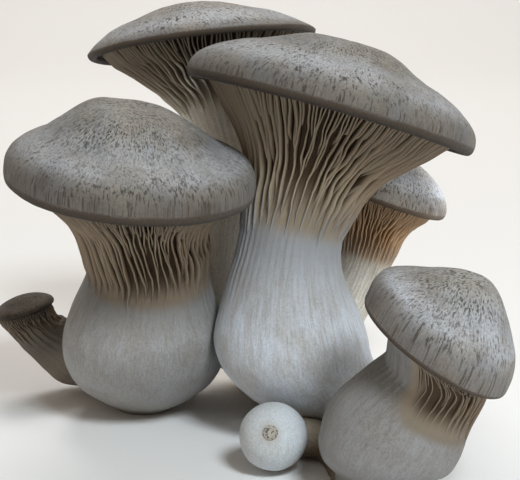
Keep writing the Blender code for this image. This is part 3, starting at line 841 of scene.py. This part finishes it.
# %% [markdown]
# ## The gills
# Under the cap, thin blades run down the trumpet. Every long one has shorter ones beside it,
# which start at the rim and join it on the way down, so the rows stay close although the
# trumpet widens. Each could be drawn, but Geometry Nodes lay them all: one blade is a box,
# copied for every gill, and each copy is bent onto the trumpet. A flat map of the trumpet, as
# used for a picture on a surface, says where every point of a blade lands.

# %% The trumpet's map
GUIDE_RINGS, GUIDE_SIDES = 60, 240
GUIDE_OVERLAP = 0.05


def trumpet_guide(mushroom):
    """A sheet over the gills' roots, whose points keep their map, the way out and the way round."""
    heights = np.linspace(mushroom.gill_end - GUIDE_OVERLAP, 3.0, GUIDE_RINGS)
    angles = np.linspace(0.0, 2.0 * pi, GUIDE_SIDES + 1)
    root = gill_root(mushroom, heights, angles)
    points = stem_points(mushroom, heights, angles, root) - MIDDLE
    over = stem_points(mushroom, heights, angles, root + 0.001) - MIDDLE
    beside = stem_points(mushroom, heights, angles + 0.01, root) - MIDDLE
    index = np.arange(points[..., 0].size).reshape(points.shape[:2])
    quads = np.stack((index[:-1, :-1], index[:-1, 1:], index[1:, 1:], index[1:, :-1]), axis=-1)
    mesh = bpy.data.meshes.new(f"gills_{mushroom.name}")
    mesh.from_pydata(points.reshape(-1, 3).tolist(), [], quads.reshape(-1, 4).tolist())
    across, along = np.meshgrid(angles / (2.0 * pi), np.linspace(0.0, 1.0, GUIDE_RINGS))
    flat_map = np.stack((across, along, 0.0 * along), axis=-1)
    directions = (("out", unit(over - points)), ("round", unit(beside - points)))
    for key, values in (("map", flat_map), *directions):
        kept = mesh.attributes.new(key, "FLOAT_VECTOR", "POINT")
        kept.data.foreach_set("vector", values.astype(np.float32).ravel())
    return new_object(mesh.name, mesh)


# %% [markdown]
# ## The tree that lays the gills
# Along a blade, one number runs from its low end to the rim, and across its section a second
# one runs from its root to its crest. Everything else follows from those two and from the
# blade's own number: where it starts, which way it sways, how high it stands.

# %% A bench for the gill tree
GILL_INPUTS = {
    "Gills": "Int", "Depth": "Float", "Crest Width": "Float", "Root Width": "Float",
    "Sway": "Float", "Low End": "Float", "Bare": "Float", "Seed": "Int", "Finish": "Material",
}


class GillBench(Bench):
    """A bench for the gill tree, with the tree's inputs and the number of each blade at hand."""

    def __init__(self, tree):
        super().__init__(tree)
        self.given = self.add("NodeGroupInput").outputs
        self.blade = self.kept_fact("blade", "INT")

    def keep(self, geometry, name, value, kind, domain="POINT"):
        """The geometry, with the value kept on it under that name."""
        inputs = {"Geometry": geometry, "Name": name, "Value": value}
        node = self.add("GeometryNodeStoreNamedAttribute", inputs, data_type=kind, domain=domain)
        return node.outputs[0]

    def kept_fact(self, name, kind="FLOAT_VECTOR"):
        """What a point keeps under that name."""
        return self.add("GeometryNodeInputNamedAttribute", {"Name": name}, data_type=kind).outputs[0]

    def chance(self, low, high, salt):
        """A random number for each blade."""
        seed = self.math("ADD", self.given["Seed"], salt)
        inputs = {2: low, 3: high, "ID": self.blade, "Seed": seed}
        return self.add("FunctionNodeRandomValue", inputs, data_type="FLOAT").outputs[1]

    def wander(self, first, second, detail):
        """A noise from about -0.5 to 0.5 on two numbers."""
        at = self.add("ShaderNodeCombineXYZ", {0: first, 1: second, 2: self.given["Seed"]}).outputs[0]
        return self.math("SUBTRACT", self.cloud(at, 1.0, detail), 0.5)

    def landed(self, values, spot):
        """What the trumpet's mesh says at that spot of its map."""
        node = self.add("GeometryNodeSampleUVSurface", data_type="FLOAT_VECTOR")
        sources = (self.given["Geometry"], values, self.kept_fact("map"), spot)
        for key, value in zip(("Mesh", "Value", "Source UV Map", "Sample UV"), sources):
            self.feed(node.inputs[key], value)
        return node.outputs[0]


# %% Where each blade runs
LONG_START, MIDDLING_START, SHORT_START = (0.0, 0.14), (0.22, 0.58), (0.55, 0.82)
BLADE_END = 0.985
SHARED_SWAY, OWN_SWAY = 5.0, 1.6
MIDDLING_LEAN, LEAN_POWER = 1.8, 2.2


def blade_run(bench, along):
    """How far up and how far round the map each point of a blade is, and the blade's own noise."""
    math, times, times_plus, chance = bench.math, bench.times, bench.times_plus, bench.chance
    # Of every four blades the first is long, the third middling, and the others short.
    place = math("FLOORED_MODULO", bench.blade, 4.0)
    is_long = math("LESS_THAN", place, 0.5)
    is_middling = math("COMPARE", place, 2.0, 0.1)
    is_short = math("SUBTRACT", 1.0, math("ADD", is_long, is_middling))
    start = times(is_long, chance(*LONG_START, 1))
    start = times_plus(is_middling, chance(*MIDDLING_START, 2), start)
    start = times_plus(is_short, chance(*SHORT_START, 3), start)
    way = times_plus(along, math("SUBTRACT", BLADE_END, start), start)

    pitch = math("DIVIDE", 1.0, bench.given["Gills"])
    even = times(math("ADD", bench.blade, 0.5), pitch)
    shared = bench.wander(times(even, 26.0), times(way, 3.2), 1.0)
    own = bench.wander(times(bench.blade, 7.31), times(way, 5.5), 1.5)
    sway = times(bench.given["Sway"], times_plus(shared, SHARED_SWAY, times(own, OWN_SWAY)))
    # A short blade leans to the long one beside it, a middling one to either, and joins it.
    either = math("SIGN", chance(-1.0, 1.0, 6))
    lean = times(is_short, math("SUBTRACT", place, 2.0))
    lean = times_plus(is_middling, times(either, MIDDLING_LEAN), lean)
    rooted = math("POWER", math("SUBTRACT", 1.0, along), LEAN_POWER)
    offset = math("ADD", times_plus(rooted, lean, sway), chance(-0.25, 0.25, 4))
    return way, math("FLOORED_MODULO", times_plus(offset, pitch, even), 1.0), own


# %% How high it stands
DIVE, RIM_THINNING, RAGGED = (0.0, 0.42, -0.2, 1.0), (0.86, 1.0, 1.0, 0.35), (0.82, 1.1)
ROOT_SUNK, BARE_SUNK, TIP = -0.3, -1.6, 0.8


def blade_stand(bench, along, way, across, own):
    """How far a blade's crest stands out from the roots."""
    depth, given = bench.given["Depth"], bench.given
    # The low end dives under the skin, so no gill starts with a step.
    ragged = bench.times_plus(own, 0.5, bench.chance(*RAGGED, 5))
    ending = bench.between(way, *RIM_THINNING)
    stand = bench.times(depth, bench.between(along, *DIVE), ending, ragged)
    # On a bare side the blades sink under the skin.
    turned_by = bench.math("COSINE", bench.times_plus(across, 2.0 * pi, -BARE_AT))
    bare = bench.times(bench.between(turned_by, *BARE_REACH), given["Bare"])
    return bench.times_plus(bench.times(bare, depth), BARE_SUNK, stand)


def bent_point(bench, side, up, spot, stand, own):
    """Where a point of a straight blade lands on the trumpet."""
    times, times_plus, given = bench.times, bench.times_plus, bench.given
    ground = bench.landed(bench.add("GeometryNodeInputPosition").outputs[0], spot)
    out, beside = (bench.landed(bench.kept_fact(name), spot) for name in ("out", "round"))
    sunk = times(given["Depth"], ROOT_SUNK)
    level = times_plus(up, bench.math("SUBTRACT", stand, sunk), sunk)
    slim = bench.math("SUBTRACT", given["Crest Width"], given["Root Width"])
    width = times_plus(up, slim, given["Root Width"])
    aside = times_plus(side, width, times(own, up, times(stand, TIP)))
    moved = bench.vector("ADD", ground, bench.scaled(out, level))
    return bench.vector("ADD", moved, bench.scaled(beside, aside))


def blade_shade(bench, along, up, way):
    """The height that the finish reads, and how much painted shade a point gets between the gills,
    less on a crest.
    """
    low_end = bench.given["Low End"]
    height = bench.times_plus(way, bench.math("SUBTRACT", 3.0, low_end), low_end)
    shade = bench.between(bench.math("SUBTRACT", height, low_end), 0.05, 0.8)
    bright = bench.times(bench.between(up, 0.25, 1.0), bench.between(along, 0.0, 0.25))
    return height, bench.times(shade, bench.times_plus(bright, -0.75, 1.0))


# %% Gill tree
BLADE_STEPS = 26
GRAINS_A_METRE = 60.0


def gill_tree():
    """Geometry Nodes that turn a trumpet's map into its gills."""
    tree = bpy.data.node_groups.new("lay_gills", "GeometryNodeTree")
    for label, kind in {"Geometry": "Geometry", **GILL_INPUTS}.items():
        tree.interface.new_socket(label, in_out="INPUT", socket_type=f"NodeSocket{kind}")
    tree.interface.new_socket("Geometry", in_out="OUTPUT", socket_type="NodeSocketGeometry")
    bench = GillBench(tree)
    add, given = bench.add, bench.given

    shape = {"Vertices X": 2, "Vertices Y": BLADE_STEPS, "Vertices Z": 3}
    box = add("GeometryNodeMeshCube", shape).outputs[0]
    points = add("GeometryNodePoints", {"Count": given["Gills"]}).outputs[0]
    blades = add("GeometryNodeInstanceOnPoints", {"Points": points, "Instance": box}).outputs[0]
    number = add("GeometryNodeInputIndex").outputs[0]
    numbered = bench.keep(blades, "blade", number, "INT", "INSTANCE")
    laid = add("GeometryNodeRealizeInstances", {"Geometry": numbered}).outputs[0]

    apart = add("ShaderNodeSeparateXYZ", {0: add("GeometryNodeInputPosition").outputs[0]}).outputs
    along, up = (bench.math("ADD", apart[axis], 0.5) for axis in (1, 2))
    way, across, own = blade_run(bench, along)
    stand = blade_stand(bench, along, way, across, own)
    spot = add("ShaderNodeCombineXYZ", {0: across, 1: way}).outputs[0]
    moved = bent_point(bench, apart[0], up, spot, stand, own)
    height, shade = blade_shade(bench, along, up, way)
    # The facts are kept while the blades are still straight boxes, and then the blades are bent.
    facts = bench.keep(laid, "depth", shade, "FLOAT")
    facts = bench.keep(facts, "height", height, "FLOAT")
    facts = bench.keep(facts, "grain", bench.scaled(moved, GRAINS_A_METRE), "FLOAT_VECTOR")
    bent = add("GeometryNodeSetPosition", {"Geometry": facts, "Position": moved}).outputs[0]
    smooth = add("GeometryNodeSetShadeSmooth", {"Geometry": bent}).outputs[0]
    real = add("GeometryNodeRealizeInstances", {"Geometry": smooth}).outputs[0]
    finish = add("GeometryNodeSetMaterial", {"Geometry": real, "Material": given["Finish"]})
    bench.feed(add("NodeGroupOutput").inputs[0], finish.outputs[0])
    return tree


def set_input(modifier, label, value):
    """Sets a modifier's input by its label."""
    for item in modifier.node_group.interface.items_tree:
        if item.item_type == "SOCKET" and item.in_out == "INPUT" and item.name == label:
            modifier[item.identifier] = value


def plain_mesh(thing):
    """Turns what the modifiers give into the object's own mesh."""
    graph = bpy.context.evaluated_depsgraph_get()
    mesh = bpy.data.meshes.new_from_object(thing.evaluated_get(graph), depsgraph=graph)
    old = thing.data
    thing.modifiers.clear()
    thing.data = mesh
    bpy.data.meshes.remove(old)
    mesh.name = thing.name

# %% Lay the gills of every mushroom
CREST_WIDTH, ROOT_WIDTH, FULL_DEPTH = 0.00038, 0.0008, 0.002
FIRST_SEED = 11

lay_gills = gill_tree()


def grow_gills(mushroom, seed):
    """All the gills of one mushroom in one piece."""
    made = trumpet_guide(mushroom)
    laying = made.modifiers.new("lay_gills", "NODES")
    laying.node_group = lay_gills
    size = (mushroom.gill_depth / FULL_DEPTH) ** 0.5
    sizes = (mushroom.gill_depth * GILL_STAND, CREST_WIDTH * size, ROOT_WIDTH * size)
    ways = (mushroom.gill_sway, mushroom.gill_end - GUIDE_OVERLAP, mushroom.gill_bare)
    values = (mushroom.gills, *sizes, *ways, seed, flesh[mushroom.name])
    for label, value in zip(GILL_INPUTS, values):
        set_input(laying, label, value)
    plain_mesh(made)
    settle(made)


for number, mushroom in enumerate(MUSHROOMS):
    grow_gills(mushroom, FIRST_SEED + number)

# %% [markdown]
# ## The button
# A button is a mushroom that hasn't opened: nearly a ball of white flesh, with a cap on its
# tip no bigger than a seed. Both are turned shapes, so both are grids of rings like the stems.

# %% Button
BUTTON_FOOT = np.array((-0.0024, -0.024, 0.01))
BUTTON_MIDDLE = np.array((-0.0064, -0.034, 0.0122))
BUTTON_RADIUS = 0.0108
BUTTON_FOOT_RADIUS = 0.0064
BUTTON_FACING = unit(np.array((-0.1, -0.9, 0.42)))
BUTTON_CAP_RADIUS = 0.0024
BUTTON_CAP_HEIGHT = 0.0012
BUTTON_SIDES = 96
BUTTON_LIGHT, BUTTON_WARM = (0.62, 0.67, 0.71), (0.5, 0.47, 0.42)
SEED_LIGHT, SEED_DARK = (0.46, 0.435, 0.385), (0.38, 0.345, 0.29)
BUTTON_LUMP, SEED_GRAIN = (0.006, 0.00018, 4.4), (0.0008, 0.0001, 2.7)
BUTTON_FROM, BUTTON_TO = radians(-62.0), radians(89.0)


def turned(middles, radii, angles):
    """Rings about the button's own axis."""
    right = unit(np.array((1.0, 0.0, 0.0)) - BUTTON_FACING * BUTTON_FACING[0])
    back = np.cross(BUTTON_FACING, right)
    direction = right * np.cos(angles)[:, None] + back * np.sin(angles)[:, None]
    return middles[:, None] + direction * radii[:, None, None]


def grow_button():
    """The closed young bulb, a little tanned round its tip."""
    angles = turn(BUTTON_SIDES)
    polar = np.linspace(BUTTON_FROM, BUTTON_TO, 60)
    radii = BUTTON_RADIUS * np.cos(polar)
    middles = BUTTON_MIDDLE + BUTTON_FACING * (BUTTON_RADIUS * np.sin(polar))[:, None]
    start = ease(polar, BUTTON_FROM, radians(-50.0))
    radii = radii * start + BUTTON_FOOT_RADIUS * (1.0 - start)
    middles = middles * start[:, None] + BUTTON_FOOT * (1.0 - start)[:, None]
    rings = turned(middles, radii, angles)
    rings = rings + unit(rings - BUTTON_MIDDLE) * roughened(rings, *BUTTON_LUMP)[..., None]
    heights = everywhere(0.55 - 0.42 * ease(polar, radians(58.0), radians(84.0)), angles)
    facts = {
        "grain": ((rings - BUTTON_MIDDLE) / BUTTON_RADIUS, (0, 1, 0), (0, -1, 0)),
        "height": (heights, (0.55,), (0.13,)),
        "depth": (0.0 * heights, (0,), (0,)),
    }
    tip = BUTTON_MIDDLE + BUTTON_FACING * BUTTON_RADIUS
    made = skin_of("fine_stem_button", rings, middles[0], tip, facts)
    tones = (BUTTON_LIGHT, BUTTON_WARM, BUTTON_LIGHT, BUTTON_WARM)
    made.data.materials.append(flesh_finish("flesh_button", *tones, 0.0, 0.0, 2.0))
    settle(made, "stem_button")


def grow_button_cap():
    """The seed of a cap on the button's tip."""
    angles = turn(BUTTON_SIDES // 2)
    rise = np.linspace(0.0, pi / 2 * 0.97, 16)
    seat = BUTTON_MIDDLE + BUTTON_FACING * (BUTTON_RADIUS - 0.0002)
    top = BUTTON_CAP_HEIGHT - 0.0001
    middles = seat + BUTTON_FACING * (top * np.sin(rise) ** 1.4)[:, None]
    rings = turned(middles, BUTTON_CAP_RADIUS * np.cos(rise) ** 0.8, angles)
    rings = rings + unit(rings - seat) * roughened(rings, *SEED_GRAIN)[..., None]
    across = BUTTON_CAP_RADIUS * 100.0
    grain = grain_of(angles, np.cos(rise) * across) * (across, across, 1.0)
    facts = {
        "grain": (grain, (across, 0, 0), (0, 0, 0)),
        "share": (everywhere(np.cos(rise), angles) * 0.2, (0.2,), (0.0,)),
    }
    made = skin_of("fine_cap_button", rings, middles[0], seat + BUTTON_FACING * top, facts)
    made.data.materials.append(cap_finish("skin_button", SEED_LIGHT, SEED_DARK, 0.0))
    settle(made, "cap_button")


grow_button()
grow_button_cap()

# %% [markdown]
# ## The joined base
# All seven grew from one lump of tissue, which was cut flat where the cluster was picked. It
# is a handful of blobs that melt into each other: balls, remeshed together and smoothed. The
# stems sink into it, as flesh that grew out of it does. Its skin is matted and crumbly.

# %% Base
BASE_LUMPS = (
    ((0.012, 0.037, 0.004), (0.0205, 0.029, 0.019)),
    ((0.012, 0.002, 0.001), (0.014, 0.016, 0.01)),
    ((0.021, -0.024, 0.003), (0.0125, 0.03, 0.011)),
    ((0.024, -0.046, 0.001), (0.014, 0.013, 0.008)),
    ((0.004, -0.017, 0.006), (0.01, 0.0115, 0.007)),
    ((-0.013, 0.038, 0.018), (0.016, 0.01, 0.009)),
    ((-0.029, 0.048, 0.0215), (0.022, 0.013, 0.011)),
    ((-0.053, 0.05, 0.009), (0.02, 0.016, 0.0165)),
)
BASE_VOXEL, BASE_SHRINK = 0.0011, 0.0008
BASE_SMOOTHING = (0.5, 20)
# The size of a crumb and how high it stands, for big and small crumbs.
CRUMBS = ((0.0045, 0.0004), (0.0016, 0.00015))
# Both tones are painted shade: above, flesh as it looks in shade; below, deeper shade near the floor.
TISSUE_IN_SHADE = (0.44, 0.385, 0.305)
TISSUE_IN_DEEP_SHADE = (0.15, 0.11, 0.072)


def base_finish():
    """Matted tissue in painted shade: like the stems' shaded flesh above, and darker, as deeper
    painted shade, towards the cut.
    """
    made, bench, shader = new_finish("tissue_base")
    place = bench.place()
    height = bench.add("ShaderNodeSeparateXYZ", {0: place}).outputs[2]
    blotch = bench.cloud(place, 90.0, 4.0, 0.6)
    crumb = bench.cloud(place, 700.0, 4.0, 0.7)
    # Painted shade: darker towards the floor, with a blotchy edge.
    rise = bench.math("ADD", height, bench.between(blotch, 0.3, 0.7, -0.003, 0.003))
    tone = bench.blend(bench.between(rise, 0.004, 0.013), rgba(TISSUE_IN_DEEP_SHADE), rgba(TISSUE_IN_SHADE))
    bench.feed(shader["Base Color"], bench.dimmed(tone, bench.between(crumb, 0.3, 0.7, 0.85, 1.08)))
    bench.feed(shader["Normal"], bench.bump(crumb, 0.4))
    shader["Roughness"].default_value = 0.85
    return made


def grow_base():
    """The fine base in place of the solid one."""
    mesh = bmesh.new()
    for middle, radii in BASE_LUMPS:
        place = Matrix.Translation(Vector(middle) - Vector(MIDDLE)) @ Matrix.Diagonal((*radii, 1.0))
        bmesh.ops.create_icosphere(mesh, subdivisions=4, radius=1.0, matrix=place)
    data = bpy.data.meshes.new("fine_base")
    mesh.to_mesh(data)
    mesh.free()
    made = new_object("fine_base", data)
    melt = made.modifiers.new("melt", "REMESH")
    melt.mode = "VOXEL"
    melt.voxel_size = BASE_VOXEL
    smooth = made.modifiers.new("smooth", "SMOOTH")
    smooth.factor, smooth.iterations = BASE_SMOOTHING
    plain_mesh(made)
    mesh = bmesh.new()
    mesh.from_mesh(made.data)
    mesh.normal_update()
    for vertex in mesh.verts:
        crumbs = sum(noise.noise(vertex.co / size) * height for size, height in CRUMBS)
        vertex.co += vertex.normal * (crumbs - BASE_SHRINK)
    whole = mesh.verts[:] + mesh.edges[:] + mesh.faces[:]
    ground = {"plane_co": (0, 0, 0), "plane_no": (0, 0, 1)}
    cut = bmesh.ops.bisect_plane(mesh, geom=whole, **ground, clear_inner=True)
    rim = [e for e in cut["geom_cut"] if isinstance(e, bmesh.types.BMEdge)]
    bmesh.ops.holes_fill(mesh, edges=rim, sides=0)
    bmesh.ops.triangulate(mesh, faces=[f for f in mesh.faces if len(f.verts) > 4])
    mesh.to_mesh(made.data)
    mesh.free()
    made.data.shade_smooth()
    made.data.materials.clear()
    made.data.materials.append(base_finish())
    settle(made, "joined_base")


grow_base()

# %% [markdown]
# ## Floor, light and camera
# The photograph was taken by one soft light from the front right, about as high as a window:
# the front cap's shadow falls to the left on the bulb behind it, with a blurred edge. What
# fills the shadows is dim and warm, like light off a room's walls. A weak second lamp at the
# right rounds off the right-hand bulbs, and a third lights only the paper behind. The floor is
# plain and pale and curves up at the back, like a studio's paper roll. The camera stands half a
# metre off and looks down by 12 degrees.

# %% Stage
FLOOR_COLOUR = (0.88, 0.88, 0.88)
ROOM_LIGHT = (1.0, 0.87, 0.72)
ROOM_STRENGTH = 0.3
SKY, LAMP_WHITE = (0.87, 0.95, 1.0), (1.0, 0.98, 0.96)


def lay_floor():
    """A plain sweep: flat under the cluster, and curved up behind it."""
    width, front, flat, bend, top = 6.0, -3.0, 1.2, 0.8, 3.0
    profile = [(front, 0.0), (flat, 0.0)]
    for step in range(1, 13):
        angle = pi / 2 * step / 12
        profile.append((flat + bend * np.sin(angle), bend * (1.0 - np.cos(angle))))
    profile.append((flat + bend, top))
    points = [(x, y, z) for y, z in profile for x in (-width / 2, width / 2)]
    faces = [(2 * i, 2 * i + 1, 2 * i + 3, 2 * i + 2) for i in range(len(profile) - 1)]
    mesh = bpy.data.meshes.new("floor")
    mesh.from_pydata(points, [], faces)
    mesh.shade_smooth()
    paper, _, shader = new_finish("paper")
    shader["Base Color"].default_value = rgba(FLOOR_COLOUR)
    shader["Roughness"].default_value = 0.9
    shader["Specular IOR Level"].default_value = 0.1
    mesh.materials.append(paper)
    new_object("floor", mesh)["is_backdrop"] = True


def hang_lamp(name, place, size, power, colour, target=(0.0, 0.0, 0.06)):
    """A soft square lamp that faces its target."""
    lamp = bpy.data.lights.new(name, "AREA")
    lamp.size = size
    lamp.energy = power
    lamp.color = colour
    made = new_object(name, lamp)
    made.location = place
    made.rotation_euler = (Vector(target) - Vector(place)).to_track_quat("-Z", "Y").to_euler()


lay_floor()
hang_lamp("window", (0.34, -0.74, 0.79), size=0.24, power=8.6, colour=SKY)
hang_lamp("side_window", (0.95, -0.3, 0.42), size=0.3, power=0.9, colour=SKY)
hang_lamp("backdrop", (0.0, 0.9, 1.5), 0.9, 14.0, LAMP_WHITE, target=(0.0, 0.95, 0.0))
world = bpy.data.worlds.new("studio")
world.use_nodes = True
room = world.node_tree.nodes["Background"].inputs
room["Color"].default_value = rgba(ROOM_LIGHT)
room["Strength"].default_value = ROOM_STRENGTH
scene.world = world
scene.view_settings.view_transform = "Standard"

# %% Camera
CAMERA_PLACE = Vector((0.01074, -0.49968, 0.1723))
CAMERA_TARGET = Vector((0.01074, -0.01058, 0.06835))
PHOTO_WIDTH = 520
FOCAL_PIXELS = 1515.0
SENSOR = 36.0

lens = bpy.data.cameras.new("camera")
lens.sensor_width = SENSOR
lens.lens = FOCAL_PIXELS * SENSOR / PHOTO_WIDTH
lens.clip_start = 0.01
camera = new_object("camera", lens)
camera.location = CAMERA_PLACE
camera.rotation_euler = (CAMERA_TARGET - CAMERA_PLACE).to_track_quat("-Z", "Y").to_euler()
scene.camera = camera

# %% Finish
drawn_low, drawn_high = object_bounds()
boxes = [list(v) for v in (solid_low, solid_high, drawn_low, drawn_high)]
print("boxes:", boxes)
meshes = [thing for thing in scene.objects if thing.type == "MESH"]
fine = [thing for thing in meshes if thing.name.startswith(("fine", "gills"))]
print("triangles:", sum(len(p.vertices) - 2 for thing in fine for p in thing.data.polygons))
